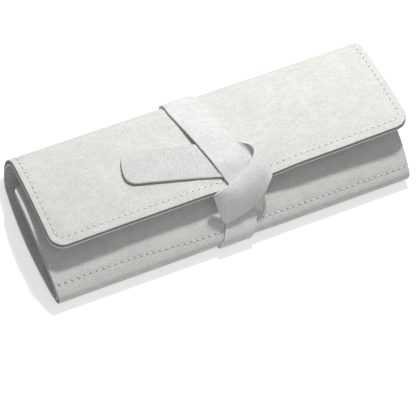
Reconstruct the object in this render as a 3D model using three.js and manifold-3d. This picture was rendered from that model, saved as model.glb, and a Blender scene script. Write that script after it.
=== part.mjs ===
// Jewelry travel bag: a soft suede roll that folds at the front, turns up round the back and closes
// under a flap, held shut by one flat strap tied in a half hitch.
// Millimetres. X runs along the roll, Y to the back, Z up. The origin is under the middle, on the table.

import * as THREE from "three";
import { mergeVertices } from "three/addons/utils/BufferGeometryUtils.js";
import Module from "manifold-3d";

// Driving dimensions of the roll
const panelLength = 235;
const flapShift = 4;
const rollDepth = 94;
const backRadius = 13;
const noseRadius = 7;
const frontRadius = 66;
const flapRadius = 260;
const cornerRadius = 9;

// Where each stretch of the folded sheet starts and ends, as angles about its own centre, in degrees
const spineEndAngle = 20;
const flapStartAngle = 72;
const flapFrontAngle = 86;
const frontStartAngle = 130;
const frontTipAngle = 68;

// The sheet: an outer ply and a lining, with a stiffener between them where a panel stays flat
const outerPly = 1.5;
const groove = 1.2;
const liningPly = 1.3;
const stiffener = 0.6;
const stiffenerInset = 8;
const touchGap = 0.3;
const pocketPly = 1.2;

// The strap and its knot
const strapWidth = 20.5;
const strapThickness = 1.5;
const strapGap = 0.4;
const tailWidth = 23;
const tailLength = 47.6;
const tailCornerRadius = 7.5;
const strapUnderX = -4.5;
const overShear = -0.22;
const frontShear = 0.55;

// The zip pocket and the ring cushion inside
const zipLength = 196;
const zipY = 11;
const coilWidth = 1.6;
const coilHeight = 1.8;
const tapeWidth = 3.2;
const tapeThickness = 0.6;
const stopLength = 2;
const pullLength = 8.5;
const pullWidth = 3.8;
const ringRollRadius = 4.5;
const ringRollLength = 92;
const ringRollCount = 3;
const ringPadEndInset = 14;
const ringPadFrontInset = 12;
const pocketSideInset = 5;
const pocketEndInset = 8;

// Sizes that follow from those above
const stack = outerPly + groove + liningPly;
const liningDepth = outerPly + groove;
const stiffenerDepth = outerPly + (groove - stiffener) / 2;
const bodyLeft = -(panelLength + flapShift) / 2;
const bodyRight = bodyLeft + panelLength;
const flapLeft = bodyLeft + flapShift;
const flapRight = bodyRight + flapShift;
const strapLift = strapThickness + strapGap;

const rad = THREE.MathUtils.degToRad;
const wasm = await Module();
wasm.setup();

// Each rounded stretch of the sheet: centre and radius of its outer face in the YZ plane.
// The flap is tangent to the back, and the front panel to the nose.
const back = { y: rollDepth / 2 - backRadius, z: backRadius, r: backRadius };
const nose = { y: noseRadius - rollDepth / 2, z: noseRadius, r: noseRadius };
const flap = tangentArc(back, flapRadius, flapStartAngle);
const front = tangentArc(nose, frontRadius, frontStartAngle);

function tangentArc(from, r, angle) {
  const reach = from.r - r;
  return { y: from.y + reach * Math.cos(rad(angle)), z: from.z + reach * Math.sin(rad(angle)), r };
}

function onArc(arc, angle, depth = 0) {
  const r = arc.r - depth;
  return { y: arc.y + r * Math.cos(rad(angle)), z: arc.z + r * Math.sin(rad(angle)) };
}

const flapFrontY = onArc(flap, flapFrontAngle).y;
const flapBackY = onArc(flap, flapStartAngle).y;
const flapTop = (y) => flap.z + Math.sqrt(flap.r ** 2 - (y - flap.y) ** 2);

// Materials
function material(color, roughness, metalness = 0) {
  return new THREE.MeshStandardMaterial({ color, roughness, metalness });
}
const suede = material(0xd8d5d1, 0.95);
const lining = material(0xc6c3c0, 0.95);
const strapSuede = material(0xcfcecd, 0.93);
const board = material(0xb9a98c, 0.85);
const zipCloth = material(0xb4b3b1, 0.9);
const zipPlastic = material(0xa7a6a4, 0.5);
const nickel = material(0xc9c9cb, 0.25, 1);

const bag = new THREE.Group();

function add(name, geometry, look) {
  const mesh = new THREE.Mesh(geometry, look);
  mesh.name = name;
  bag.add(mesh);
}

// Moves every vertex of a geometry by a rule
function remap(geometry, rule) {
  const position = geometry.getAttribute("position");
  const point = new THREE.Vector3();
  for (let i = 0; i < position.count; i++) {
    point.fromBufferAttribute(position, i);
    rule(point);
    position.setXYZ(i, point.x, point.y, point.z);
  }
  return geometry;
}

// A section drawn in Y and Z, drawn out along X through the given stations
function alongX(shape, stations, curveSegments = 8) {
  const steps = stations.length - 1;
  const options = { depth: steps, steps, curveSegments, bevelEnabled: false };
  const geometry = new THREE.ExtrudeGeometry(shape, options);
  const turn = new THREE.Matrix4().makeBasis(
    new THREE.Vector3(0, 1, 0),
    new THREE.Vector3(0, 0, 1),
    new THREE.Vector3(1, 0, 0),
  );
  return remap(geometry.applyMatrix4(turn), (p) => {
    p.x = stations[Math.round(p.x)];
  });
}

// The section of one ply of a rounded stretch, between two depths under its outer face
function arcPly(arc, fromAngle, toAngle, outerDepth, innerDepth) {
  const shape = new THREE.Shape();
  shape.absarc(arc.y, arc.z, arc.r - outerDepth, rad(fromAngle), rad(toAngle), toAngle < fromAngle);
  shape.absarc(arc.y, arc.z, arc.r - innerDepth, rad(toAngle), rad(fromAngle), toAngle > fromAngle);
  shape.closePath();
  return shape;
}

function boxShape(fromY, toY, fromZ, toZ) {
  const shape = new THREE.Shape();
  shape.moveTo(fromY, fromZ);
  shape.lineTo(toY, fromZ);
  shape.lineTo(toY, toZ);
  shape.lineTo(fromY, toZ);
  shape.closePath();
  return shape;
}

// The roll's weight presses the strap flush with the table, so the base rises over it and settles
// back to the table on both sides. The rise dies out over a few millimetres of height.
const pressHalfWidth = strapWidth / 2 + 2;
const pressFade = 22;
const pressHeight = 9;
const pressFadeSteps = 4;

// Stations along X from one end to the other, close together only where the base rises over the strap
function pressStations(fromX, toX) {
  const stations = [fromX];
  for (const side of [-1, 1]) {
    for (let i = 0; i <= pressFadeSteps; i++) {
      const share = side < 0 ? 1 - i / pressFadeSteps : i / pressFadeSteps;
      stations.push(strapUnderX + side * (pressHalfWidth + pressFade * share));
    }
  }
  return [...stations.filter((x) => x >= fromX && x < toX), toX];
}

const pressUp = (z) => strapLift * THREE.MathUtils.clamp(1 - z / pressHeight, 0, 1);

function pressed(geometry) {
  return remap(geometry, (p) => {
    const aside = Math.abs(p.x - strapUnderX);
    const across = 1 - THREE.MathUtils.smoothstep(aside, pressHalfWidth, pressHalfWidth + pressFade);
    p.z += across * pressUp(p.z);
  });
}

// Booleans on closed geometries
function solid(geometry) {
  const bare = geometry.index ? geometry.toNonIndexed() : geometry;
  const plain = new THREE.BufferGeometry().setAttribute("position", bare.getAttribute("position"));
  const merged = mergeVertices(plain, 1e-3);
  const vertProperties = merged.attributes.position.array;
  const triVerts = new Uint32Array(merged.index.array);
  return new wasm.Manifold(new wasm.Mesh({ numProp: 3, vertProperties, triVerts }));
}

function geometryOf(manifold) {
  const mesh = manifold.getMesh();
  const geometry = new THREE.BufferGeometry();
  geometry.setAttribute("position", new THREE.BufferAttribute(new Float32Array(mesh.vertProperties), 3));
  geometry.setIndex(new THREE.BufferAttribute(new Uint32Array(mesh.triVerts), 1));
  return geometry;
}

// An upright prism with two round corners at one free edge of a panel
function cornerPrism(left, right, freeY, rootY, radius) {
  const toRoot = Math.sign(rootY - freeY);
  const shape = new THREE.Shape();
  shape.moveTo(left, rootY);
  shape.lineTo(left, freeY + toRoot * radius);
  shape.quadraticCurveTo(left, freeY, left + radius, freeY);
  shape.lineTo(right - radius, freeY);
  shape.quadraticCurveTo(right, freeY, right, freeY + toRoot * radius);
  shape.lineTo(right, rootY);
  shape.closePath();
  const options = { depth: 2 * rollDepth, bevelEnabled: false, curveSegments: 8 };
  return new THREE.ExtrudeGeometry(shape, options).translate(0, 0, -rollDepth);
}

// Base, resting on the table
const baseFront = nose.y + touchGap;
const baseBack = back.y - touchGap;

function addBase() {
  const panel = (fromDepth, toDepth, inset) =>
    pressed(
      alongX(
        boxShape(baseFront + inset, baseBack - inset, fromDepth, toDepth),
        pressStations(bodyLeft + inset, bodyRight - inset),
      ),
    );
  add("base_outer", panel(0, outerPly, 0), suede);
  add("base_stiffener", panel(stiffenerDepth, stiffenerDepth + stiffener, stiffenerInset), board);
  add("base_lining", panel(liningDepth, stack, 0), lining);
}

// Rounded back, from the base up to the flap's fold
function addSpine() {
  const stations = pressStations(bodyLeft, bodyRight);
  const ply = (outerDepth, innerDepth) =>
    pressed(alongX(arcPly(back, -90, spineEndAngle, outerDepth, innerDepth), stations));
  add("spine_outer", ply(0, outerPly), suede);
  add("spine_lining", ply(liningDepth, stack), lining);
}

// Soft folds that bend as the bag opens
const foldGapAngle = 2;

function addFolds() {
  const backFold = (outerDepth, innerDepth) =>
    alongX(
      arcPly(back, spineEndAngle + foldGapAngle, flapStartAngle - foldGapAngle, outerDepth, innerDepth),
      [bodyLeft + flapShift / 2, bodyRight + flapShift / 2],
      5,
    );
  add("back_fold_outer", backFold(0, outerPly), suede);
  add("back_fold_lining", backFold(liningDepth, stack), lining);
  const noseFold = (outerDepth, innerDepth) =>
    pressed(
      alongX(
        arcPly(nose, 270 - foldGapAngle, frontStartAngle + 2 * foldGapAngle, outerDepth, innerDepth),
        pressStations(bodyLeft, bodyRight),
      ),
    );
  add("front_fold_outer", noseFold(0, outerPly), suede);
  add("front_fold_lining", noseFold(liningDepth, stack), lining);
}

// Front panel, rising from the front fold and running back under the flap
function addFrontPanel() {
  const tipY = onArc(front, frontTipAngle).y;
  const panel = (outerDepth, innerDepth, inset) => {
    const insetAngle = THREE.MathUtils.radToDeg(inset / frontRadius);
    const ply = alongX(
      arcPly(front, frontStartAngle - insetAngle, frontTipAngle - 1, outerDepth, innerDepth),
      [bodyLeft, bodyRight],
    );
    const outline = cornerPrism(bodyLeft + inset, bodyRight - inset, tipY - inset, -rollDepth, cornerRadius);
    return geometryOf(solid(ply).intersect(solid(outline)));
  };
  add("front_outer", panel(0, outerPly, 0), suede);
  add("front_stiffener", panel(stiffenerDepth, stiffenerDepth + stiffener, stiffenerInset), board);
  add("front_lining", panel(liningDepth, stack, 0), lining);
}

// Slip pockets on the inside of the front panel and of the flap
const frontPocketMargin = 6;
const flapPocketMargin = 1;
const flapPocketAngle = 5.5;

function addSlipPockets() {
  const depth = stack + touchGap;
  const frontPocket = arcPly(
    front,
    frontStartAngle - frontPocketMargin,
    frontTipAngle + frontPocketMargin,
    depth,
    depth + pocketPly,
  );
  const frontSides = [bodyLeft + pocketSideInset, bodyRight - pocketSideInset];
  add("front_pocket", alongX(frontPocket, frontSides), lining);
  const flapPocketEnd = flapFrontAngle - flapPocketMargin;
  const flapPocket = arcPly(flap, flapPocketEnd - flapPocketAngle, flapPocketEnd, depth, depth + pocketPly);
  const flapSides = [flapLeft + pocketSideInset, flapRight - pocketSideInset];
  add("flap_pocket", alongX(flapPocket, flapSides, 6), lining);
}

// Flap over the top, with round front corners
function addFlap() {
  const panel = (outerDepth, innerDepth, inset) => {
    const insetAngle = THREE.MathUtils.radToDeg(inset / flapRadius);
    const section = arcPly(flap, flapStartAngle + insetAngle, flapFrontAngle + 1, outerDepth, innerDepth);
    const sides = [flapLeft + inset, flapRight - inset];
    const outline = cornerPrism(...sides, flapFrontY + inset, rollDepth, cornerRadius);
    return geometryOf(solid(alongX(section, [flapLeft, flapRight])).intersect(solid(outline)));
  };
  add("flap_outer", panel(0, outerPly, 0), suede);
  add("flap_stiffener", panel(stiffenerDepth, stiffenerDepth + stiffener, stiffenerInset), board);
  add("flap_lining", panel(liningDepth, stack, 0), lining);
}

// Zip pocket, lying on the base where that rises over the strap
const pocketZ = stack + pressUp(stack) + touchGap;
const tapeTop = pocketZ + pocketPly;
const tapeBottom = tapeTop - tapeThickness;
const coilTop = tapeBottom + coilHeight;

function addZipPocket() {
  const ends = [bodyLeft + pocketEndInset, bodyRight - pocketEndInset];
  const coilSide = coilWidth / 2 + touchGap;
  const tapeSide = coilSide + tapeWidth;
  const mouth = tapeSide + touchGap;
  const cloth = (name, fromY, toY, fromZ, look) =>
    add(name, alongX(boxShape(fromY, toY, fromZ, tapeTop), ends), look);
  cloth("pocket_front_panel", baseFront + pocketSideInset, zipY - mouth, pocketZ, lining);
  cloth("pocket_back_panel", zipY + mouth, baseBack - pocketSideInset, pocketZ, lining);
  cloth("zip_tape_front", zipY - tapeSide, zipY - coilSide, tapeBottom, zipCloth);
  cloth("zip_tape_back", zipY + coilSide, zipY + tapeSide, tapeBottom, zipCloth);
  const coil = boxShape(zipY - coilWidth / 2, zipY + coilWidth / 2, tapeBottom, coilTop);
  add("zip_coil", alongX(coil, [-zipLength / 2, zipLength / 2]), zipPlastic);
  for (const [name, side] of [["zip_stop_left", -1], ["zip_stop_right", 1]]) {
    const stop = new THREE.BoxGeometry(stopLength, coilWidth + tapeWidth, coilHeight);
    const away = zipLength / 2 + touchGap + stopLength / 2;
    add(name, stop.translate(side * away, zipY, tapeTop + touchGap + coilHeight / 2), nickel);
  }
}

// Zip slider straddling the coil, with a bar on top that carries the pull
const sliderStart = 8;
const sliderX = -zipLength / 2 + sliderStart;
const sliderLength = 8;
const sliderWidth = 7;
const sliderClear = 0.5;
const sliderPly = 1.2;
const barRadius = 0.8;
const barRise = 2.2;
const sliderFloor = tapeTop + touchGap;
const sliderTop = coilTop + sliderClear + sliderPly;
const barZ = sliderTop + barRise;

function addSlider() {
  const outer = sliderWidth / 2;
  const inner = coilWidth / 2 + sliderClear;
  const roof = sliderTop - sliderPly;
  const section = new THREE.Shape();
  section.moveTo(zipY - outer, sliderFloor);
  section.lineTo(zipY - inner, sliderFloor);
  section.lineTo(zipY - inner, roof);
  section.lineTo(zipY + inner, roof);
  section.lineTo(zipY + inner, sliderFloor);
  section.lineTo(zipY + outer, sliderFloor);
  section.lineTo(zipY + outer, sliderTop);
  section.lineTo(zipY - outer, sliderTop);
  section.closePath();
  let body = solid(alongX(section, [sliderX - sliderLength / 2, sliderX + sliderLength / 2]));
  const bar = new THREE.CylinderGeometry(barRadius, barRadius, sliderWidth, 16);
  body = body.add(solid(bar.translate(sliderX, zipY, barZ)));
  for (const side of [-1, 1]) {
    const post = new THREE.BoxGeometry(2 * barRadius, sliderPly, barRise + sliderPly);
    post.translate(sliderX, zipY + side * (outer - sliderPly / 2), sliderTop + (barRise - sliderPly) / 2);
    body = body.add(solid(post));
  }
  add("zip_slider", geometryOf(body), nickel);
}

// The pull hangs on the bar by a round eye
function addPull() {
  const eye = barRise - touchGap;
  const plate = sliderPly;
  const neck = Math.asin(plate / 2 / eye);
  const section = new THREE.Shape();
  section.absarc(0, 0, eye, neck, 2 * Math.PI - neck, false);
  section.absarc(pullLength - plate / 2, 0, plate / 2, -Math.PI / 2, Math.PI / 2, false);
  section.closePath();
  const hole = new THREE.Path();
  hole.absarc(0, 0, barRadius + touchGap, 0, 2 * Math.PI, true);
  section.holes.push(hole);
  const options = { depth: pullWidth, bevelEnabled: false, curveSegments: 10 };
  const pull = new THREE.ExtrudeGeometry(section, options).rotateX(Math.PI / 2);
  pull.translate(sliderX, zipY + pullWidth / 2, barZ);
  add("zip_pull", pull, nickel);
}

// Ring cushion: stuffed rolls on a pad, in front of the zip
function addRingCushion() {
  const padZ = tapeTop + touchGap;
  const padTop = padZ + pocketPly;
  const pitch = 2 * ringRollRadius + 2 * touchGap;
  const padLeft = bodyRight - ringPadEndInset - ringRollLength;
  const padFront = baseFront + ringPadFrontInset;
  const pad = boxShape(padFront, padFront + ringRollCount * pitch, padZ, padTop);
  add("ring_pad", alongX(pad, [padLeft, padLeft + ringRollLength]), lining);
  for (let i = 0; i < ringRollCount; i++) {
    const roll = new THREE.CylinderGeometry(ringRollRadius, ringRollRadius, ringRollLength, 20);
    roll.rotateZ(Math.PI / 2);
    const y = padFront + pitch * (i + 0.5);
    roll.translate(padLeft + ringRollLength / 2, y, padTop + touchGap + ringRollRadius);
    add("ring_roll_" + (i + 1), roll, suede);
  }
}

// Strap stretches that follow the outside of the sheet
const strapIn = -strapGap;
const strapOut = -strapGap - strapThickness;
const strapSides = [strapUnderX - strapWidth / 2, strapUnderX + strapWidth / 2];

function addStrapBody() {
  const under = boxShape(baseFront, baseBack, strapOut, strapIn);
  add("strap_under", pressed(alongX(under, strapSides)), strapSuede);
  const behind = arcPly(back, -90, spineEndAngle, strapOut, strapIn);
  add("strap_back", pressed(alongX(behind, strapSides)), strapSuede);
  const foldAngles = [spineEndAngle + foldGapAngle, flapStartAngle - foldGapAngle];
  const backFold = arcPly(back, ...foldAngles, strapOut, strapIn);
  add("strap_back_fold", alongX(backFold, strapSides, 5), strapSuede);
  const noseFold = arcPly(nose, 270 - foldGapAngle, frontStartAngle + 2 * foldGapAngle, strapOut, strapIn);
  add("strap_front_fold", pressed(alongX(noseFold, strapSides)), strapSuede);
}

// The strap's start climbs the front panel at a slant, to the patch that sews it down under the flap
const anchorAngle = 113;
const anchorSpan = 6;
const anchorMargin = 2;

function slantUp(geometry) {
  return remap(geometry, (p) => {
    p.x += frontShear * Math.max(0, p.z - noseRadius);
  });
}

function addStrapFront() {
  const rise = arcPly(front, frontStartAngle, anchorAngle, strapOut, strapIn);
  add("strap_front", slantUp(alongX(rise, strapSides)), strapSuede);
  const gapAngle = THREE.MathUtils.radToDeg(touchGap / frontRadius);
  const patch = arcPly(front, anchorAngle - gapAngle, anchorAngle - anchorSpan, strapOut, strapIn);
  const patchSides = [strapSides[0] - anchorMargin, strapSides[1] + anchorMargin];
  add("strap_anchor", slantUp(alongX(patch, patchSides)), strapSuede);
}

// The strap over the flap lifts to clear its own tail, then drops over the flap's front edge
const liftStart = 24;
const liftEnd = 14;
const dropAngle = 150;
const dropLength = 12;
const flapEdge = { ...onArc(flap, flapFrontAngle, stack / 2), r: stack / 2 };

function addStrapOver() {
  const drop = { y: -Math.sin(rad(dropAngle)), z: Math.cos(rad(dropAngle)) };
  const outerEnd = onArc(flapEdge, dropAngle, strapOut);
  const innerEnd = onArc(flapEdge, dropAngle, strapIn);
  const shape = new THREE.Shape();
  shape.absarc(flap.y, flap.z, flap.r - strapOut, rad(flapStartAngle), rad(flapFrontAngle), false);
  shape.absarc(flapEdge.y, flapEdge.z, flapEdge.r - strapOut, rad(flapFrontAngle), rad(dropAngle), false);
  shape.lineTo(outerEnd.y + drop.y * dropLength, outerEnd.z + drop.z * dropLength);
  shape.lineTo(innerEnd.y + drop.y * dropLength, innerEnd.z + drop.z * dropLength);
  shape.absarc(flapEdge.y, flapEdge.z, flapEdge.r - strapIn, rad(dropAngle), rad(flapFrontAngle), true);
  shape.absarc(flap.y, flap.z, flap.r - strapIn, rad(flapFrontAngle), rad(flapStartAngle), true);
  shape.closePath();
  const strap = remap(alongX(shape, strapSides, 14), (p) => {
    p.x += overShear * (p.y - flapBackY);
    p.z += strapLift * (1 - THREE.MathUtils.smoothstep(p.y, liftEnd, liftStart));
  });
  add("strap_over", strap, strapSuede);
}

// A flat strap whose middle surface runs through three rails: its upper edge, middle and lower edge
function ribbon(upper, middle, lower, lengthSteps, widthSteps) {
  const rails = [upper, middle, lower].map(
    (points) => new THREE.CatmullRomCurve3(points.map((p) => new THREE.Vector3(...p)), false, "centripetal"),
  );
  const surface = (u, w) => {
    const [a, b, c] = rails.map((rail) => rail.getPoint(THREE.MathUtils.clamp(u, 0, 1)));
    const point = a.multiplyScalar((1 - w) * (1 - 2 * w));
    return point.addScaledVector(b, 4 * w * (1 - w)).addScaledVector(c, w * (2 * w - 1));
  };
  const step = 1e-3;
  return remap(new THREE.BoxGeometry(1, 1, 1, lengthSteps, widthSteps, 1), (p) => {
    const u = p.x + 0.5;
    const w = p.y + 0.5;
    const along = surface(u + step, w).sub(surface(u - step, w));
    const across = surface(u, w + step).sub(surface(u, w - step));
    const normal = along.cross(across).normalize();
    p.copy(surface(u, w).addScaledVector(normal, p.z * strapThickness));
  });
}

// The half hitch: out from under the strap on the right, over it, down across the front to the left fold.
// Its rails are measured from the point where it lies on the strap, over the flap's front edge.
const knot = {
  x: strapUnderX + overShear * (flapFrontY - flapBackY),
  y: flapFrontY,
  z: flapTop(flapFrontY) + 2 * strapLift + strapThickness / 2,
};

function addStrapLoop() {
  const rail = (points) => points.map(([x, y, z]) => [knot.x + x, knot.y + y, knot.z + z]);
  const upper = rail([
    [11.3, 16.7, -5.1], [14.4, 16.2, -2.8], [12.3, 15.7, -0.6], [7.5, 11.5, 0], [-3.8, 3, 0.7],
    [-15.7, -1.6, -0.4], [-20.5, -1.8, -3], [-21.9, -1.8, -5.4], [-20.1, -2.2, -7.2],
  ]);
  const middle = rail([
    [12.3, 7.7, -4], [16.1, 6.7, -1.7], [13.8, 5.7, 0.7], [10.3, -0.3, 0.8], [-1.2, -6.3, -2.2],
    [-11.2, -8.7, -4.4], [-19.6, -8, -10.6], [-21.5, -7, -12.6], [-19.2, -6, -14.2],
  ]);
  const lower = rail([
    [12.3, 0.2, -3.3], [15.8, -2.1, -2.4], [14.1, -3.3, -0.6], [9.3, -9.8, -6.6], [-2.2, -14.4, -14],
    [-9.7, -15.3, -18], [-18.2, -15, -19.1], [-20, -14, -20.3], [-17.8, -12.6, -21.4],
  ]);
  add("strap_loop", ribbon(upper, middle, lower, 48, 6), strapSuede);
}

// The strap's end lies flat on the flap: the tucked stretch under the strap, then the loose tail
const tailFromKnot = { x: -21, y: 21.4 };
const tailRoot = { x: knot.x + tailFromKnot.x, y: knot.y + tailFromKnot.y };
const tailTurn = 164.4;
const tuckLength = 30.8;

function onFlap(geometry) {
  geometry.rotateZ(rad(tailTurn)).translate(tailRoot.x, tailRoot.y, 0);
  return remap(geometry, (p) => {
    p.z += flapTop(p.y) + strapGap;
  });
}

function addStrapEnd() {
  const tuck = new THREE.BoxGeometry(tuckLength, tailWidth, strapThickness, 8, 6, 1);
  tuck.translate(-tuckLength / 2 - strapGap, 0, strapThickness / 2);
  add("strap_tuck", onFlap(tuck), strapSuede);
  const half = tailWidth / 2;
  const outline = new THREE.Shape();
  outline.moveTo(0, -half);
  outline.lineTo(tailLength - tailCornerRadius, -half);
  outline.quadraticCurveTo(tailLength, -half, tailLength, tailCornerRadius - half);
  outline.lineTo(tailLength, half - tailCornerRadius);
  outline.quadraticCurveTo(tailLength, half, tailLength - tailCornerRadius, half);
  outline.lineTo(0, half);
  outline.closePath();
  const options = { depth: strapThickness, bevelEnabled: false, curveSegments: 8 };
  add("strap_tail", onFlap(new THREE.ExtrudeGeometry(outline, options)), strapSuede);
}

addBase();
addSpine();
addFolds();
addFrontPanel();
addSlipPockets();
addFlap();
addZipPocket();
addSlider();
addPull();
addRingCushion();
addStrapBody();
addStrapFront();
addStrapOver();
addStrapLoop();
addStrapEnd();

export default bag;
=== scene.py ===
"""Looks for the jewelry travel bag: brushed suede plies, sewn edges, a tied flat strap and the inside."""

import math

import bpy
import numpy as np
from mathutils import Matrix, Vector


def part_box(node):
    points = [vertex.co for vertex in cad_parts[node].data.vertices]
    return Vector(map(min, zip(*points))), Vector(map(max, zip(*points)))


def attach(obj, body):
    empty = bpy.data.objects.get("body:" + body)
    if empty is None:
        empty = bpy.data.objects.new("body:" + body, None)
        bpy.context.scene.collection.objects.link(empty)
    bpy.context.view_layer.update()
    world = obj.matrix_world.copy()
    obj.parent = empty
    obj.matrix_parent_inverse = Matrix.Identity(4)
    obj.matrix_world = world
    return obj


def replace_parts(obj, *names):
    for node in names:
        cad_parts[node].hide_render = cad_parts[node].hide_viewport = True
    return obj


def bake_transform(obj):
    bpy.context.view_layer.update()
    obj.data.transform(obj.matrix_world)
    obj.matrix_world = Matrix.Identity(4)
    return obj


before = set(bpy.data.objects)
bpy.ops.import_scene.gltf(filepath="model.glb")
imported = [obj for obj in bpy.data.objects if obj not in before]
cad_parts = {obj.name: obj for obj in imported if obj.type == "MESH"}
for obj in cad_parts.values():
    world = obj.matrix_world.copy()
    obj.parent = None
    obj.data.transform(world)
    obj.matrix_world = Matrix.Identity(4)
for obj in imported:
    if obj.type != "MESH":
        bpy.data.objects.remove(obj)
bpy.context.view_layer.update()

# Sizes below are millimetres in the frame and angles are degrees. Meshes are scaled to metres when made.
MM = 0.001


def node_box(node):
    """The low and the high corner of one of the frame's solids."""
    low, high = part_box(node)
    return np.array(low) / MM, np.array(high) / MM


# Sizes read from the frame
body_low, body_high = node_box("base_outer")
strap_low, strap_high = node_box("strap_under")
flap_low = node_box("flap_outer")[0]
spine_high = node_box("spine_outer")[1]
nose_low = node_box("front_fold_outer")[0]
BODY_LEFT, BODY_RIGHT = body_low[0], body_high[0]
FLAP_SHIFT = flap_low[0] - BODY_LEFT
STRAP_X = (strap_low[0] + strap_high[0]) / 2
STRAP_WIDTH = strap_high[0] - strap_low[0]

# The sheet's rounded stretches and plies
ROLL_DEPTH = 94
BACK_RADIUS = 13
NOSE_RADIUS = 7
FRONT_RADIUS = 66
FLAP_RADIUS = 260
FLAP_ANGLE = 72
FLAP_FRONT_ANGLE = 86
FRONT_ANGLE = 130
FRONT_TIP_ANGLE = 64
CORNER_RADIUS = 9
FRONT_CORNER = 4
OUTER_PLY = 1.5
LINING_PLY = 1.3
GROOVE = 1.2
SEWN_GROOVE = 0.75
SEWN_WIDTH = 9
LINING_REACH = 0.6
EDGE_BEVEL = 0.28

# The strap where it goes round the roll and over the flap
STRAP_THICKNESS = 1.5
STRAP_GAP = 0.4
LAYER = STRAP_THICKNESS + STRAP_GAP
STRAP_CROWN = 0.25
OVER_SHEAR = -0.22
FRONT_SHEAR = 0.55
ANCHOR_ANGLE = 107
DROP_ANGLE = 150
STRAP_SLACK = 0.7
LIFT_START = 38
LIFT_END = 2
LIFT_LEAN = 0.37
DIP_START = -8
DIP_END = -26

# How the soft roll has settled
PRESS_HALF = STRAP_WIDTH / 2 + 2
PRESS_FADE = 22
PRESS_HEIGHT = 9
LEFT_START = 55
LEFT_BOW = 3
FRONT_BOW = 1.5
LEFT_SQUASH = 3
SQUASH_FRONT = -52
SQUASH_DEPTH = 90
SQUASH_HEIGHT = 24
RIGHT_LIFT = 2.5
LEFT_DROOP = 1.5
KNOT_DENT = 3
DENT_HALF = 8
DENT_FADE = 26
DENT_START = -2
DENT_END = -26

# Ripples of the flap, which fade beside the strap: each wave has a length across, one along and an offset
RIPPLE = 0.35
RIPPLE_START = 18
RIPPLE_FULL = 40
RIPPLE_WAVES = ((23, 31, 0), (41, -17, 1))

# Sewing
STITCH_PITCH = 4
STITCH_LENGTH = 2.7
THREAD_RADIUS = 0.4
THREAD_FLATNESS = 0.75
THREAD_SINK = 0.1
HOLE_RADIUS = 0.36
HOLE_STRETCH = 1.3
HOLE_FLATNESS = 0.35
SEAM_DIP = 0.28
SEAM_DIP_WIDTH = 0.9
FLAP_SEAM_FRONT = 5
FLAP_SEAM_SIDE = 3.8
FLAP_SEAM_START = 6
FLAP_SEAM_CORNER = 5
FRONT_SEAM_RISE = 3.3
FRONT_SEAM_END = 2.5
LEFT_SEAM_RISE = 3.5
LEFT_RISE_START = 15
LEFT_RISE_END = 85
BACKSTITCH = 13
BACKSTITCH_DROP = 1

# How finely the pieces are drawn
WRAP_STEP = 1.6
FRONT_STEP = 0.9
SHEET_COLUMN = 1.8
STRAP_STEP = 1.2
STRAP_COLUMNS = 13
DROP_STEP = 1
HITCH_STEPS = 12
HITCH_COLUMNS = 15
PLY_STEP = 2
PLY_COLUMN = 2.5
PLY_ROWS = 11
SEAM_OFFSETS = (-1.6, -0.8, 0, 0.8, 1.6)
CLOSEST_STATIONS = 0.25
SEAM_CORNER_POINTS = 7
FRONT_SEAM_POINTS = 60
BEAD_RINGS = 7
BEAD_SIDES = 8
BEAD_BLUNTNESS = 0.6
SHARP_ANGLE = 38
FAR_AWAY = 99
TINY = 1e-9


def smooth(low, high, value):
    """0 before low, 1 after high, and an even S between them."""
    t = np.clip((np.asarray(value, float) - low) / (high - low), 0, 1)
    return t * t * (3 - 2 * t)


def arch(value, start, length):
    """0 at both ends of a length and past them, and 1 in its middle."""
    return np.sin(np.pi * np.clip((value - start) / length, 0, 1))


def unit(vectors):
    """The same directions with a length of 1."""
    return vectors / np.maximum(np.linalg.norm(vectors, axis=-1, keepdims=True), TINY)


# The bag's section in Y and Z


class Line:
    """A straight stretch of a profile, with its outer face on the right of the way it runs."""

    def __init__(self, start, end):
        self.start = np.array(start, float)
        run = np.array(end, float) - self.start
        self.length = np.linalg.norm(run)
        self.along = run / self.length

    def at(self, share, depth):
        y = self.start[0] + self.along[0] * share * self.length - self.along[1] * depth
        z = self.start[1] + self.along[1] * share * self.length + self.along[0] * depth
        return y, z


class Arc:
    """A round stretch of a profile from one angle to another, with its outer face outward."""

    def __init__(self, y, z, radius, start, end):
        self.y, self.z, self.radius = y, z, radius
        self.start, self.end = math.radians(start), math.radians(end)
        self.length = radius * abs(self.end - self.start)

    def at(self, share, depth):
        angle = self.start + (self.end - self.start) * share
        r = self.radius - depth
        return self.y + r * np.cos(angle), self.z + r * np.sin(angle)


class Profile:
    """Stretches joined end to end and measured along the outer face."""

    def __init__(self, *stretches):
        self.stretches = stretches
        self.starts = np.cumsum([0] + [stretch.length for stretch in stretches])
        self.length = self.starts[-1]

    def at(self, s, depth):
        s, depth = np.broadcast_arrays(np.asarray(s, float), np.asarray(depth, float))
        y, z = np.zeros(s.shape), np.zeros(s.shape)
        for i, stretch in enumerate(self.stretches):
            first, last = i == 0, i == len(self.stretches) - 1
            here = (s >= self.starts[i]) | first
            here &= (s < self.starts[i + 1]) | last
            share = (s[here] - self.starts[i]) / stretch.length
            y[here], z[here] = stretch.at(share, depth[here])
        return y, z


def tangent_arc(y, z, radius, next_radius, start, end):
    """An arc that goes on smoothly from another at the angle start."""
    reach = radius - next_radius
    angle = math.radians(start)
    return Arc(y + reach * math.cos(angle), z + reach * math.sin(angle), next_radius, start, end)


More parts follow.
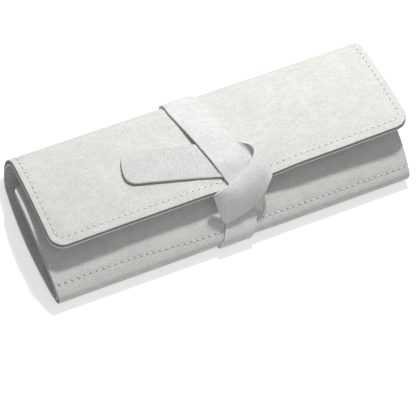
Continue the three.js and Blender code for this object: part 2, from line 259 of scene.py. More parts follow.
back_y = spine_high[1] - BACK_RADIUS
nose_y = nose_low[1] + NOSE_RADIUS
flap_arc = tangent_arc(back_y, BACK_RADIUS, BACK_RADIUS, FLAP_RADIUS, FLAP_ANGLE, FLAP_FRONT_ANGLE)
front_arc = tangent_arc(nose_y, NOSE_RADIUS, NOSE_RADIUS, FRONT_RADIUS, FRONT_ANGLE, FRONT_TIP_ANGLE)
wrap_profile = Profile(
    Line((nose_y, 0), (back_y, 0)),
    Arc(back_y, BACK_RADIUS, BACK_RADIUS, -90, FLAP_ANGLE),
    flap_arc,
)
front_profile = Profile(Arc(nose_y, NOSE_RADIUS, NOSE_RADIUS, 270, FRONT_ANGLE), front_arc)
S_BASE_END, S_FLAP = wrap_profile.starts[1], wrap_profile.starts[2]
S_EDGE = wrap_profile.length
S_NOSE = front_profile.starts[1]
S_TIP = front_profile.length
flap_back_y = flap_arc.at(0, 0)[0]
flap_edge_y = flap_arc.at(1, 0)[0]
KNOT_X = STRAP_X + OVER_SHEAR * (flap_edge_y - flap_back_y)

# The settled roll: places on the sheet, from x in the body, s along the outer face and a depth below it


def dent(x, y):
    """How far the knot pulls the flap's front edge down."""
    across = 1 - smooth(DENT_HALF, DENT_HALF + DENT_FADE, np.abs(x - KNOT_X))
    return KNOT_DENT * across * smooth(-DENT_START, -DENT_END, -y)


def flap_top(x, y):
    """The height of the flap's outer face."""
    return flap_arc.z + np.sqrt(FLAP_RADIUS**2 - (y - flap_arc.y) ** 2) - dent(x, y)


def press(x, z):
    """The base rises over the strap that lies under it."""
    across = 1 - smooth(PRESS_HALF, PRESS_HALF + PRESS_FADE, np.abs(x - STRAP_X))
    return z + across * LAYER * np.clip(1 - z / PRESS_HEIGHT, 0, 1)


def left_end(x):
    """0 over most of the bag, and 1 at its left end."""
    return smooth(LEFT_START, -BODY_LEFT, -x)


def ripple(x, s):
    """Slow uneven waves of the flap, which the strap holds flat."""
    height = RIPPLE
    for across, along, offset in RIPPLE_WAVES:
        height = height * np.sin(x / across + s / along + offset)
    return height * smooth(RIPPLE_START, RIPPLE_FULL, np.abs(x - STRAP_X))


def wrap_point(x, s, depth):
    """A point of the sheet that runs under the base, round the back and over the top."""
    y, z = wrap_profile.at(s, depth)
    flapness = smooth(S_BASE_END, S_FLAP, s)
    forward = smooth(S_FLAP, S_EDGE, s)
    half = (BODY_RIGHT - BODY_LEFT) / 2
    side = np.clip((x - (BODY_LEFT + BODY_RIGHT) / 2) / half, -1, 1)
    lift = np.where(side > 0, RIGHT_LIFT, -LEFT_DROOP) * side**2
    bow = LEFT_BOW * left_end(x) * arch(y, -ROLL_DEPTH / 2, ROLL_DEPTH) * (1 - flapness)
    z = press(x, z + forward * (lift + ripple(x, s))) - flapness * dent(x, y)
    return np.stack([x + FLAP_SHIFT * flapness - bow, y, z], -1)


def front_point(x, s, depth):
    """A point of the sheet that folds up round the front and runs back under the flap."""
    y, z = front_profile.at(s, depth)
    end = left_end(x)
    rise = np.clip(z / SQUASH_HEIGHT, 0, 1)
    squash = LEFT_SQUASH * end * arch(y, SQUASH_FRONT, SQUASH_DEPTH) * rise
    bow = FRONT_BOW * end * arch(y, -ROLL_DEPTH / 2, ROLL_DEPTH)
    return np.stack([x - bow, y, press(x, z - squash)], -1)


# Meshes


def link(name, mesh, *materials):
    """A new piece of the scene."""
    piece = bpy.data.objects.new(name, mesh)
    for material in materials:
        mesh.materials.append(material)
    bpy.context.scene.collection.objects.link(piece)
    return piece


def mesh_of(name, vertices, faces, uv=None, edge_faces_from=None):
    """A mesh in metres from millimetre points, with its flat coordinates as a UV map in metres too."""
    mesh = bpy.data.meshes.new(name)
    mesh.from_pydata((np.asarray(vertices) * MM).tolist(), [], faces)
    mesh.update()
    if uv is not None:
        layer = mesh.uv_layers.new(name="flat")
        corner = np.zeros(len(mesh.loops), np.int32)
        mesh.loops.foreach_get("vertex_index", corner)
        layer.data.foreach_set("uv", (np.asarray(uv)[corner] * MM).astype(np.float32).ravel())
    if edge_faces_from is not None:
        index = np.zeros(len(mesh.polygons), np.int32)
        index[edge_faces_from:] = 1
        mesh.polygons.foreach_set("material_index", index)
    mesh.shade_smooth()
    mesh.set_sharp_from_angle(angle=math.radians(SHARP_ANGLE))
    return mesh


def tube_quads(rings, sides):
    """The faces between rings of vertices that follow each other along a tube."""
    ring = np.arange(rings * sides).reshape(rings, sides)
    corners = [ring[:-1], np.roll(ring[:-1], -1, 1), np.roll(ring[1:], -1, 1), ring[1:]]
    return np.stack(corners, -1).reshape(-1, 4)


def tube_caps(rings, sides):
    """The two end faces of such a tube."""
    ring = np.arange(rings * sides).reshape(rings, sides)
    return [ring[0].tolist(), ring[-1][::-1].tolist()]


def rim_of(index):
    """A grid's outer vertices, in order all round."""
    return np.concatenate([index[0, :], index[1:, -1], index[-1, -2::-1], index[-2:0:-1, 0]])


def away_at_rim(points, normals, index):
    """The way out of a ply, in its own plane, at each vertex of its rim."""
    rim = rim_of(index)
    nearest = np.pad(index[1:-1, 1:-1], 1, mode="edge").ravel()[rim]
    away = points[rim] - points[nearest]
    return unit(away - normals[rim] * np.sum(away * normals[rim], -1, keepdims=True))


def slab(name, face, flat, thickness, materials, outward=1, bevel=EDGE_BEVEL, centred=False):
    """A ply with one face through a grid of points, its other face behind it, and a soft cut edge."""
    rows, columns = face.shape[:2]
    normal = outward * unit(np.cross(np.gradient(face, axis=0), np.gradient(face, axis=1)))
    if centred:
        face = face + normal * thickness / 2
    behind = (face - normal * thickness).reshape(-1, 3)
    face, normal, flat = face.reshape(-1, 3), normal.reshape(-1, 3), flat.reshape(-1, 2)
    index = np.arange(rows * columns).reshape(rows, columns)
    rim = rim_of(index)
    away = away_at_rim(face, normal, index)
    upper = face[rim] + bevel * (away - normal[rim])
    lower = behind[rim] + bevel * (away + normal[rim])
    quads = np.stack([index[:-1, :-1], index[:-1, 1:], index[1:, 1:], index[1:, :-1]], -1).reshape(-1, 4)
    if outward > 0:
        quads = quads[:, ::-1]
    count, ring = rows * columns, np.arange(len(rim))
    loops = [rim, 2 * count + ring, 2 * count + len(rim) + ring, count + rim]
    bands = []
    for near, far in zip(loops[:-1], loops[1:]):
        band = np.stack([near, np.roll(near, -1), np.roll(far, -1), far], -1)
        bands.append(band[:, ::-1] if outward < 0 else band)
    faces = np.concatenate([quads, count + quads[:, ::-1], *bands])
    vertices = np.concatenate([face, behind, upper, lower])
    uv = np.concatenate([flat, flat, flat[rim], flat[rim]])
    mesh = mesh_of(name, vertices, faces.tolist(), uv, edge_faces_from=2 * len(quads))
    return link(name, mesh, *materials)


def spaced(low, high, step, dense=()):
    """Even stations from low to high, with more of them beside each seam."""
    values = list(np.linspace(low, high, max(2, int(round((high - low) / step)) + 1)))
    for seam in dense:
        values += [seam + offset for offset in SEAM_OFFSETS]
    values = np.unique(np.round([v for v in values if low <= v <= high], decimals=3))
    return values[np.concatenate([[True], np.diff(values) > CLOSEST_STATIONS])]


def flat_grid(columns, stations):
    """Flat coordinates of a ply with straight sides."""
    return np.stack(np.broadcast_arrays(columns[None, :], stations[:, None]), -1)


def corner_rows(edge, radius, count=9):
    """Stations that close in on a free edge with round corners."""
    return edge - radius * (1 - np.sin(np.linspace(0, math.pi / 2, count)))


def rounded_width(s, edge, radius):
    """How far the side of a sheet draws in at a distance along it, near its free edge."""
    into = np.clip(s - (edge - radius), 0, radius)
    return radius - np.sqrt(np.maximum(radius**2 - into**2, 0))


def sheet_grid(stations, columns, edge, radius, left=BODY_LEFT, right=BODY_RIGHT):
    """Flat coordinates of a sheet whose far corners are round."""
    share = (columns - left) / (right - left)
    inset = rounded_width(stations, edge, radius)[:, None]
    x = (left + inset) + (right - left - 2 * inset) * share[None, :]
    return np.stack([x, np.broadcast_to(stations[:, None], x.shape)], -1)


def sewn_groove(flat, edge, left=BODY_LEFT, right=BODY_RIGHT):
    """The plies lie close where they are sewn at the edges and part over the stiffener."""
    inward = np.minimum(np.minimum(flat[..., 0] - left, right - flat[..., 0]), edge - flat[..., 1])
    return SEWN_GROOVE + (GROOVE - SEWN_GROOVE) * smooth(FLAP_SEAM_SIDE, SEWN_WIDTH, inward)


# Material parts

SHEEN_ROUGHNESS = 0.45
CLOTH_SPECULAR = 0.15
BUMP_STRENGTH = 0.6
NOISE_SPAN = (0.3, 0.7)


def principled(name, roughness, sheen=0.0, metallic=0.0):
    """A new material and its shader."""
    material = bpy.data.materials.new(name)
    material.use_nodes = True
    shader = material.node_tree.nodes["Principled BSDF"]
    shader.inputs["Roughness"].default_value = roughness
    shader.inputs["Metallic"].default_value = metallic
    shader.inputs["Sheen Weight"].default_value = sheen
    shader.inputs["Sheen Roughness"].default_value = SHEEN_ROUGHNESS
    if not metallic:
        shader.inputs["Specular IOR Level"].default_value = CLOTH_SPECULAR
    return material, shader


def coordinates(tree, kind="Object"):
    """The piece's own coordinates in metres, or a world's directions where the kind is Generated."""
    return tree.nodes.new("ShaderNodeTexCoord").outputs[kind]


def flat_coordinates(tree, stretch=(1, 1, 1)):
    """The sheet's own flat coordinates in metres, drawn out along one way."""
    source = tree.nodes.new("ShaderNodeUVMap")
    source.uv_map = "flat"
    mapping = tree.nodes.new("ShaderNodeMapping")
    mapping.inputs["Scale"].default_value = stretch
    tree.links.new(source.outputs["UV"], mapping.inputs["Vector"])
    return mapping.outputs["Vector"]


def axis_of(tree, vector, axis):
    """One coordinate of a vector."""
    node = tree.nodes.new("ShaderNodeSeparateXYZ")
    tree.links.new(vector, node.inputs["Vector"])
    return node.outputs[axis]


def map_range(tree, value, source=(0, 1), target=(0, 1)):
    """A value carried from one range to another and held at its ends."""
    node = tree.nodes.new("ShaderNodeMapRange")
    for name, number in zip(("From Min", "From Max", "To Min", "To Max"), (*source, *target)):
        node.inputs[name].default_value = number
    tree.links.new(value, node.inputs["Value"])
    return node.outputs["Result"]


def combined(tree, operation, first, second):
    """One value worked out from two."""
    node = tree.nodes.new("ShaderNodeMath")
    node.operation = operation
    tree.links.new(first, node.inputs[0])
    tree.links.new(second, node.inputs[1])
    return node.outputs["Value"]


def blended(tree, parts):
    """The weighted sum of several values."""
    total = None
    for value, weight in parts:
        node = tree.nodes.new("ShaderNodeMath")
        node.operation = "MULTIPLY_ADD"
        tree.links.new(value, node.inputs[0])
        node.inputs[1].default_value = weight
        node.inputs[2].default_value = 0
        if total is not None:
            tree.links.new(total, node.inputs[2])
        total = node.outputs[0]
    return total


def noise(tree, vector, scale, detail=3.0, roughness=0.55):
    """An uneven value about 0.5."""
    node = tree.nodes.new("ShaderNodeTexNoise")
    node.inputs["Scale"].default_value = scale
    node.inputs["Detail"].default_value = detail
    node.inputs["Roughness"].default_value = roughness
    tree.links.new(vector, node.inputs["Vector"])
    return node.outputs["Fac"]


def tint(tree, shader, value, span, dark, light):
    """Colours a shader from dark to light while a value goes through a span."""
    node = tree.nodes.new("ShaderNodeValToRGB")
    for element, position, color in zip(node.color_ramp.elements, span, (dark, light)):
        element.position = position
        element.color = (*color, 1)
    tree.links.new(value, node.inputs["Fac"])
    tree.links.new(node.outputs["Color"], shader.inputs["Base Color"])


def bump(tree, shader, height, distance):
    """A fine relief, with a distance in millimetres."""
    node = tree.nodes.new("ShaderNodeBump")
    node.inputs["Strength"].default_value = BUMP_STRENGTH
    node.inputs["Distance"].default_value = distance * MM
    tree.links.new(height, node.inputs["Height"])
    tree.links.new(node.outputs["Normal"], shader.inputs["Normal"])


# Materials

SUEDE_SPAN = (0.38, 0.62)
SUEDE_RELIEF = 0.12
BRUSHED = (0.8, 1.2, 1)
CLOUD_SHARE = 0.18
STROKE_SHARE = 0.26
FIBRE_SHARE = 0.56
# Painted shade and light: how much darker the hitch is painted along its tail and lighter over its loop
PAINTED_LIGHT_CONTRAST = 0.09


def painted_light_ramp(tree, start, end):
    """Below 0 before one place along a strap and above 0 past another: painted shade before it and painted
    light past it.
    """
    along = axis_of(tree, flat_coordinates(tree), "Y")
    return map_range(tree, along, source=(start * MM, end * MM), target=(-0.5, 0.5))


def suede(name, dark, light, sheen=0.35, turn=None):
    """Brushed suede: cloudy nap, short strokes where it has been stroked, and a fine fibre grain."""
    material, shader = principled(name, roughness=0.95, sheen=sheen)
    tree = material.node_tree
    even = flat_coordinates(tree)
    cloud = noise(tree, even, scale=60, detail=4, roughness=0.6)
    stroke = noise(tree, flat_coordinates(tree, BRUSHED), scale=230, detail=4, roughness=0.65)
    fibre = noise(tree, even, scale=900, detail=2, roughness=0.7)
    parts = [(cloud, CLOUD_SHARE), (stroke, STROKE_SHARE), (fibre, FIBRE_SHARE)]
    # A turn adds painted shade and light: darker before one place along the strap and lighter past another
    if turn:
        parts.append((painted_light_ramp(tree, *turn), PAINTED_LIGHT_CONTRAST))
    tint(tree, shader, blended(tree, parts), SUEDE_SPAN, dark, light)
    bump(tree, shader, blended(tree, [(stroke, 0.3), (fibre, 0.7)]), SUEDE_RELIEF)
    return material


def cut_edge(name, dark, light):
    """The raw edge of a cut ply, with a felted core."""
    material, shader = principled(name, roughness=0.97, sheen=0.15)
    tree = material.node_tree
    felt = noise(tree, flat_coordinates(tree), scale=1100, roughness=0.7)
    tint(tree, shader, felt, NOISE_SPAN, dark, light)
    return material


def thread_material():
    """Twisted sewing thread."""
    material, shader = principled("sewing_thread", roughness=0.8, sheen=0.2)
    tree = material.node_tree
    twist = tree.nodes.new("ShaderNodeTexWave")
    twist.inputs["Scale"].default_value = 900
    twist.inputs["Distortion"].default_value = 2
    tree.links.new(coordinates(tree), twist.inputs["Vector"])
    tint(tree, shader, twist.outputs["Fac"], (0, 1), (0.66, 0.655, 0.64), (0.88, 0.875, 0.86))
    return material


def hole_shade_material():
    """Painted shade: dark beads that stand for the shadow in the needle holes between stitches."""
    material, shader = principled("needle_hole_shade", roughness=1.0)
    tree = material.node_tree
    tone = noise(tree, coordinates(tree), scale=700)
    tint(tree, shader, tone, NOISE_SPAN, (0.2, 0.2, 0.2), (0.3, 0.3, 0.295))
    return material


def nickel_material():
    """Bright plated metal with a faint brushed grain."""
    material, shader = principled("bright_nickel", roughness=0.22, metallic=1.0)
    tree = material.node_tree
    grain = noise(tree, coordinates(tree), scale=900, detail=2)
    tint(tree, shader, grain, NOISE_SPAN, (0.62, 0.62, 0.63), (0.72, 0.72, 0.73))
    bump(tree, shader, grain, distance=0.01)
    return material


def plastic_material():
    """The zip's moulded coil."""
    material, shader = principled("zip_coil_plastic", roughness=0.45)
    tree = material.node_tree
    tone = noise(tree, coordinates(tree), scale=500)
    tint(tree, shader, tone, NOISE_SPAN, (0.42, 0.42, 0.42), (0.5, 0.5, 0.49))
    return material


def woven_material():
    """The zip's woven tape: crossing threads with a fine bump."""
    material, shader = principled("zip_tape_cloth", roughness=0.9, sheen=0.2)
    tree = material.node_tree
    threads = []
    for direction in ("X", "Y"):
        wave = tree.nodes.new("ShaderNodeTexWave")
        wave.bands_direction = direction
        wave.inputs["Scale"].default_value = 420
        tree.links.new(flat_coordinates(tree), wave.inputs["Vector"])
        threads.append((wave.outputs["Fac"], 0.5))
    weave = blended(tree, threads)
    tint(tree, shader, weave, (0.1, 0.9), (0.34, 0.34, 0.34), (0.5, 0.5, 0.49))
    bump(tree, shader, weave, distance=0.15)
    return material


outer_suede = suede("outer_suede", (0.57, 0.567, 0.547), (0.77, 0.767, 0.747))
lining_suede = suede("lining_suede", (0.53, 0.525, 0.51), (0.77, 0.765, 0.75), sheen=0.25)
strap_suede = suede("strap_suede", (0.60, 0.60, 0.60), (0.82, 0.82, 0.815), sheen=0.3)
# Painted shade and light: a darker copy of the strap suede, ramped lighter between 50 and 90 mm along it,
# so the tail is painted darker and the loop lighter
hitch_suede_painted_light = suede("hitch_suede_painted_light", (0.57, 0.57, 0.57), (0.79, 0.79, 0.785), sheen=0.3, turn=(50, 90))
# Painted shade: the outer ply's cut edge is dark, standing in for the shadow in the gap between the plies
outer_edge_painted_shade = cut_edge("outer_cut_edge_painted_shade", (0.30, 0.295, 0.285), (0.46, 0.455, 0.445))
# Painted light: the lining's cut edges are much lighter than its face, standing in for light that catches
# them
lining_edge_painted_light = cut_edge("lining_cut_edge_painted_light", (0.70, 0.695, 0.68), (0.86, 0.855, 0.84))
strap_edge = cut_edge("strap_cut_edge", (0.68, 0.68, 0.675), (0.86, 0.86, 0.855))
thread = thread_material()
hole_shade = hole_shade_material()
nickel = nickel_material()
coil_plastic = plastic_material()
zip_cloth = woven_material()

# Bending: pieces that cross a fold only have their placement baked into the mesh; they are not bent


def bend_with_flap(piece, depth):
    """Bakes a piece's placement into its mesh without bending it round the back fold; the depth is not
    used.
    """
    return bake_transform(piece)


def bend_with_front(piece, depth):
    """Bakes a piece's placement into its mesh without bending it round the front fold; the depth is not
    used.
    """
    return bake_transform(piece)


# The sheet: one outer ply and one lining, each in two pieces that meet under the front fold

SEAM_LEFT = BODY_LEFT + FLAP_SEAM_SIDE
SEAM_RIGHT = BODY_RIGHT - FLAP_SEAM_SIDE
FLAP_SEAM = S_EDGE - FLAP_SEAM_FRONT
FRONT_SEAM = S_NOSE + FRONT_SEAM_RISE


def front_seam(x):
    """The front seam's place along the sheet, which rises towards the left end."""
    return FRONT_SEAM + LEFT_SEAM_RISE * smooth(LEFT_RISE_START, LEFT_RISE_END, -x)


def seam_dip(distance):
    """How far thread pulls the outer ply in beside a seam."""
    return SEAM_DIP * np.exp(-((distance / SEAM_DIP_WIDTH) ** 2))


def seam_distance(flat):
    """Distance from the flap's seam, which runs up both sides and across the front."""
    x, s = flat[..., 0], flat[..., 1]
    sides = np.minimum(np.abs(x - SEAM_LEFT), np.abs(x - SEAM_RIGHT))
    across = np.abs(s - FLAP_SEAM)
    inside = (x > SEAM_LEFT) & (x < SEAM_RIGHT)
    return np.minimum(np.where(s < FLAP_SEAM, sides, FAR_AWAY), np.where(inside, across, FAR_AWAY))


def wrap_flat(reach=0):
    """Flat coordinates of base, back and flap, where the edges reach out by a little."""
    edge, left, right = S_EDGE + reach, BODY_LEFT - reach, BODY_RIGHT + reach
    stations = spaced(0, edge - CORNER_RADIUS, WRAP_STEP, [FLAP_SEAM])
    stations = np.concatenate([stations[:-1], corner_rows(edge, CORNER_RADIUS)])
    columns = spaced(left, right, SHEET_COLUMN, [SEAM_LEFT, SEAM_RIGHT])
    return sheet_grid(stations, columns, edge, CORNER_RADIUS, left, right)


def front_flat():
    """Flat coordinates of the front fold and the front panel."""
    stations = spaced(0, S_TIP - FRONT_CORNER, FRONT_STEP)
    stations = np.concatenate([stations[:-1], corner_rows(S_TIP, FRONT_CORNER)])
    columns = spaced(BODY_LEFT, BODY_RIGHT, SHEET_COLUMN)
    return sheet_grid(stations, columns, S_TIP, FRONT_CORNER)


def make_wrap():
    """The outer ply and the lining of the base, the back and the flap."""
    flat = wrap_flat()
    face = wrap_point(flat[..., 0], flat[..., 1], seam_dip(seam_distance(flat)))
    outer = slab("wrap_outer", face, flat, OUTER_PLY, (outer_suede, outer_edge_painted_shade))
    bend_with_flap(outer, 0)
    plies = ("base_outer", "spine_outer", "back_fold_outer", "flap_outer")
    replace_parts(outer, *plies, "base_stiffener", "flap_stiffener")
    flat = wrap_flat(LINING_REACH)
    depth = OUTER_PLY + sewn_groove(flat, S_EDGE)
    face = wrap_point(flat[..., 0], flat[..., 1], depth)
    lining = slab("wrap_lining", face, flat, LINING_PLY, (lining_suede, lining_edge_painted_light))
    bend_with_flap(lining, OUTER_PLY + GROOVE)
    plies = ("base_lining", "spine_lining", "back_fold_lining", "flap_lining")
    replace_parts(lining, *plies)


def make_front():
    """The outer ply and the lining of the front fold and the front panel."""
    flat = front_flat()
    dip = seam_dip(np.abs(flat[..., 1] - front_seam(flat[..., 0])))
    face = front_point(flat[..., 0], flat[..., 1], dip)
    outer = slab("front_outer_sheet", face, flat, OUTER_PLY, (outer_suede, outer_edge_painted_shade), outward=-1)
    bend_with_front(outer, 0)
    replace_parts(outer, "front_fold_outer", "front_outer", "front_stiffener")
    face = front_point(flat[..., 0], flat[..., 1], OUTER_PLY + sewn_groove(flat, S_TIP))
    lining = slab("front_lining_sheet", face, flat, LINING_PLY, (lining_suede, lining_edge_painted_light), outward=-1)
    bend_with_front(lining, OUTER_PLY + GROOVE)
    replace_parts(lining, "front_fold_lining", "front_lining")


# The strap, in four lengths: round the roll, up the front, the half hitch with its tail, and the end

stack = OUTER_PLY + GROOVE + LINING_PLY
edge_y, edge_z = flap_arc.at(1, stack / 2)
edge_arc = Arc(edge_y, edge_z, stack / 2, FLAP_FRONT_ANGLE, DROP_ANGLE)
strap_profile = Profile(*wrap_profile.stretches, edge_arc)


def strap_grid(length, step):
    """Flat coordinates of a length of strap, from its middle line."""
    across = np.linspace(-STRAP_WIDTH / 2, STRAP_WIDTH / 2, STRAP_COLUMNS)
    return flat_grid(across, spaced(0, length, step))


def strap_wrap_point(across, s):
    """A point of the strap, which lifts off the flap over the tucked stretch and dips again at the edge."""
    y, z = strap_profile.at(s, -LAYER)
    over = s > S_FLAP
    lift = (LAYER + STRAP_SLACK) * (1 - smooth(LIFT_END, LIFT_START, y)) * smooth(DIP_END, DIP_START, y)
    x = STRAP_X + across + over * (OVER_SHEAR * (y - flap_back_y) - LIFT_LEAN * lift)
    crown = STRAP_CROWN * (1 - (2 * across / STRAP_WIDTH) ** 2)
    return np.stack([x, y, press(x, z) + over * (lift + crown - dent(x, y))], -1)


def make_strap_wrap():
    """The strap under the base, up the back and over the flap to its edge."""
    flat = strap_grid(strap_profile.length, STRAP_STEP)
    face = strap_wrap_point(flat[..., 0], flat[..., 1])
    strap = slab("strap_wrap", face, flat, STRAP_THICKNESS, (strap_suede, strap_edge))
    bend_with_flap(strap, -LAYER)
    lengths = ("strap_under", "strap_back", "strap_back_fold", "strap_over")
    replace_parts(strap, *lengths)


def make_strap_front():
    """The strap from the front fold to where it is sewn on, under the flap's edge."""
    anchor = S_NOSE + FRONT_RADIUS * math.radians(FRONT_ANGLE - ANCHOR_ANGLE)
    flat = strap_grid(anchor, STRAP_STEP)
    y, z = front_profile.at(flat[..., 1], -LAYER)
    x = STRAP_X + flat[..., 0] + FRONT_SHEAR * np.maximum(0, z - NOSE_RADIUS)
    face = np.stack([x, y, press(x, z)], -1)
    strap = slab("strap_up_front", face, flat, STRAP_THICKNESS, (strap_suede, strap_edge), outward=-1)
    bend_with_front(strap, -LAYER)
    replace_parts(strap, "strap_front_fold", "strap_front", "strap_anchor")


# The tail lies flat on the flap, measured from its root beside the strap, and goes on under the strap
TAIL_ROOT = np.array([-9.5, -2.8])
TAIL_TURN = 164.4
tail_turn = math.radians(TAIL_TURN)
TAIL_ALONG = np.array([math.cos(tail_turn), math.sin(tail_turn)])
TAIL_SIDE = np.array([math.sin(tail_turn), -math.cos(tail_turn)])
TAIL_STATIONS = (50, 38, 26, 14, 2, -10, -19)
TAIL_WIDTH = 23
TAIL_CORNER = 7.5
TAIL_GAP = 0.9

# The half hitch's upper edge, middle and lower edge, from under the strap round to the left fold
HITCH_UPPER = [
    (14, 2.4, 36), (17.6, -1.6, 39.6), (19.6, -5, 42.6), (19.6, -9.2, 44),
    (17, -13.3, 43.6), (13.5, -16.7, 42.7), (3.7, -21.7, 41), (-6.9, -25.3, 39.8),
    (-12, -26.1, 38.2), (-13, -26, 36.2), (-11, -26, 34.6),
]
HITCH_MIDDLE = [
    (13.5, -9.2, 37), (19.6, -12.6, 38), (23, -15, 40), (22.8, -17.6, 42),
    (20.8, -21.2, 42.4), (17.8, -24.5, 41), (8.3, -29.2, 36.8), (-1.7, -32, 33.8),
    (-9.9, -32.2, 30.2), (-11.6, -31.4, 28.6), (-9.8, -30.4, 27.6),
]
HITCH_LOWER = [
    (11.5, -20, 37.6), (20, -23, 38.2), (24, -25.4, 39), (23.6, -27.9, 39.2),
    (21.2, -30.4, 36.8), (18, -33, 32.2), (8.4, -36.7, 23.7), (-1.6, -38.6, 21.4),
    (-8.3, -39.1, 20.3), (-9.4, -38.4, 19.9), (-7.8, -37.2, 19.6),
]


def between(first, second, start, end, t):
    """The value at t on the straight way from first at start to second at end."""
    return ((end - t) * first + (t - start) * second) / (end - start)


def smooth_curve(points, steps):
    """Points along a centripetal curve through the given ones, with a number of steps to each stretch."""
    points = np.asarray(points, float)
    ends = np.concatenate([[2 * points[0] - points[1]], points, [2 * points[-1] - points[-2]]])
    curve = []
    for i in range(len(points) - 1):
        four = ends[i:i + 4]
        knots = np.cumsum([0, *np.sqrt(np.linalg.norm(np.diff(four, axis=0), axis=1))])
        t = np.linspace(knots[1], knots[2], steps, endpoint=i == len(points) - 2)[:, None]
        three = [between(four[j], four[j + 1], knots[j], knots[j + 1], t) for j in range(3)]
        two = [between(three[j], three[j + 1], knots[j], knots[j + 2], t) for j in range(2)]
        curve.append(between(*two, knots[1], knots[2], t))
    return np.concatenate(curve)


def tail_rail(across):
    """One lengthwise line of the tail and of the stretch tucked under the strap, flat on the flap."""
    rail = []
    for distance in TAIL_STATIONS:
        x, y = TAIL_ROOT + TAIL_ALONG * distance + TAIL_SIDE * across
        rail.append((x, y, flap_top(x, y) + TAIL_GAP + STRAP_THICKNESS / 2))
    return rail


def make_strap_hitch():
    """The tail, the stretch tucked under the strap and the loop that holds it, through three rails."""
    half = TAIL_WIDTH / 2
    sides = ((half, HITCH_UPPER), (0, HITCH_MIDDLE), (-half, HITCH_LOWER))
    rails = [smooth_curve(tail_rail(across) + hitch, HITCH_STEPS) for across, hitch in sides]
    upper, middle, lower = (rail[:, None, :] for rail in rails)
    length = np.concatenate([[0], np.cumsum(np.linalg.norm(np.diff(rails[1], axis=0), axis=1))])
    drawn_in = rounded_width(-length, 0, TAIL_CORNER) / half
    share = 0.5 + (np.linspace(0, 1, HITCH_COLUMNS)[None, :] - 0.5) * (1 - drawn_in[:, None])
    w = share[..., None]
    grid = upper * (1 - w) * (1 - 2 * w) + middle * 4 * w * (1 - w) + lower * w * (2 * w - 1)
    flat = np.stack(np.broadcast_arrays((share - 0.5) * TAIL_WIDTH, length[:, None]), -1)
    looks = (hitch_suede_painted_light, strap_edge)
    strap = slab("strap_hitch", grid, flat, STRAP_THICKNESS, looks, outward=-1, centred=True)
    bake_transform(strap)
    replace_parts(strap, "strap_loop", "strap_tuck", "strap_tail")


# The strap's end hangs from the flap's edge to a slanted line, with angles on the front panel's arc
DROP_LENGTH = 17
DROP_SHEAR = -0.2
DROP_LEFT_X = 0.5
DROP_LEFT_ANGLE = 111
DROP_POINT_X = 15.8
DROP_POINT_ANGLE = 123.6
DROP_POINT_START = 0.7


def make_strap_drop():
    """The strap's end below the flap's edge: it lies on the front strap and ends in a point beside it."""
    flat = strap_grid(DROP_LENGTH, DROP_STEP)
    across = flat[..., 0]
    tilt = math.radians(DROP_ANGLE)
    fall = np.array([DROP_SHEAR, -math.sin(tilt), math.cos(tilt)])
    first = strap_wrap_point(across, np.full(across.shape, strap_profile.length))
    middle = first + fall * DROP_LENGTH / 2
    share = 0.5 + across / STRAP_WIDTH
    angle = np.radians(DROP_LEFT_ANGLE + (DROP_POINT_ANGLE - DROP_LEFT_ANGLE) * share)
    radius = FRONT_RADIUS + 2 * LAYER - LAYER * smooth(DROP_POINT_START, 1, share)
    x = DROP_LEFT_X + (DROP_POINT_X - DROP_LEFT_X) * share
    last = np.stack([x, front_arc.y + radius * np.cos(angle), front_arc.z + radius * np.sin(angle)], -1)
    t = (flat[..., 1] / DROP_LENGTH)[..., None]
    face = first * (1 - t) ** 2 + middle * 2 * t * (1 - t) + last * t**2
    drop = slab("strap_drop", face, flat, STRAP_THICKNESS, (strap_suede, strap_edge))
    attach(drop, "flap")


# Sewing


def frame_along(point, path, lift):
    """Places along a seam: the points, the way the seam runs and the outward normals."""
    step = 0.05
    x, s = path[:, 0], path[:, 1]
    here = point(x, s, 0)
    run = unit(np.gradient(here, axis=0))
    normal = unit(np.cross(point(x + step, s, 0) - here, point(x, s + step, 0) - here))
    normal *= np.sign(np.sum(normal * (here - point(x, s, 1)), -1, keepdims=True))
    return here + normal * lift, run, normal


def even_path(corners, pitch):
    """Points one stitch apart along a line through flat points."""
    corners = np.asarray(corners, float)
    length = np.concatenate([[0], np.cumsum(np.linalg.norm(np.diff(corners, axis=0), axis=1))])
    count = int(length[-1] // pitch)
    at = np.linspace(0, length[-1], count + 1)
    return np.stack([np.interp(at, length, corners[:, k]) for k in (0, 1)], -1)


def beads(name, centres, runs, normals, half_length, radius, flatness, material):
    """A row of small lengthwise beads: stitches, or dark beads of painted shade in needle holes."""
    turn = np.linspace(0, math.pi, BEAD_RINGS)
    angle = np.linspace(0, 2 * math.pi, BEAD_SIDES, endpoint=False)
    girth = np.sin(turn) ** BEAD_BLUNTNESS
    lengthwise = np.repeat(-np.cos(turn) * half_length, BEAD_SIDES)
    sideways = np.outer(girth, np.cos(angle)).ravel() * radius
    upward = np.outer(girth, np.sin(angle)).ravel() * radius * flatness
    shape = np.stack([lengthwise, sideways, upward], -1)
    axes = np.stack([runs, np.cross(normals, runs), normals], 1)
    vertices = np.einsum("bk,nkj->nbj", shape, axes) + centres[:, None, :]
    quads = tube_quads(BEAD_RINGS, BEAD_SIDES)[:, ::-1]
    faces = np.concatenate([quads + i * len(shape) for i in range(len(centres))])
    return link(name, mesh_of(name, vertices.reshape(-1, 3), faces.tolist()), material)


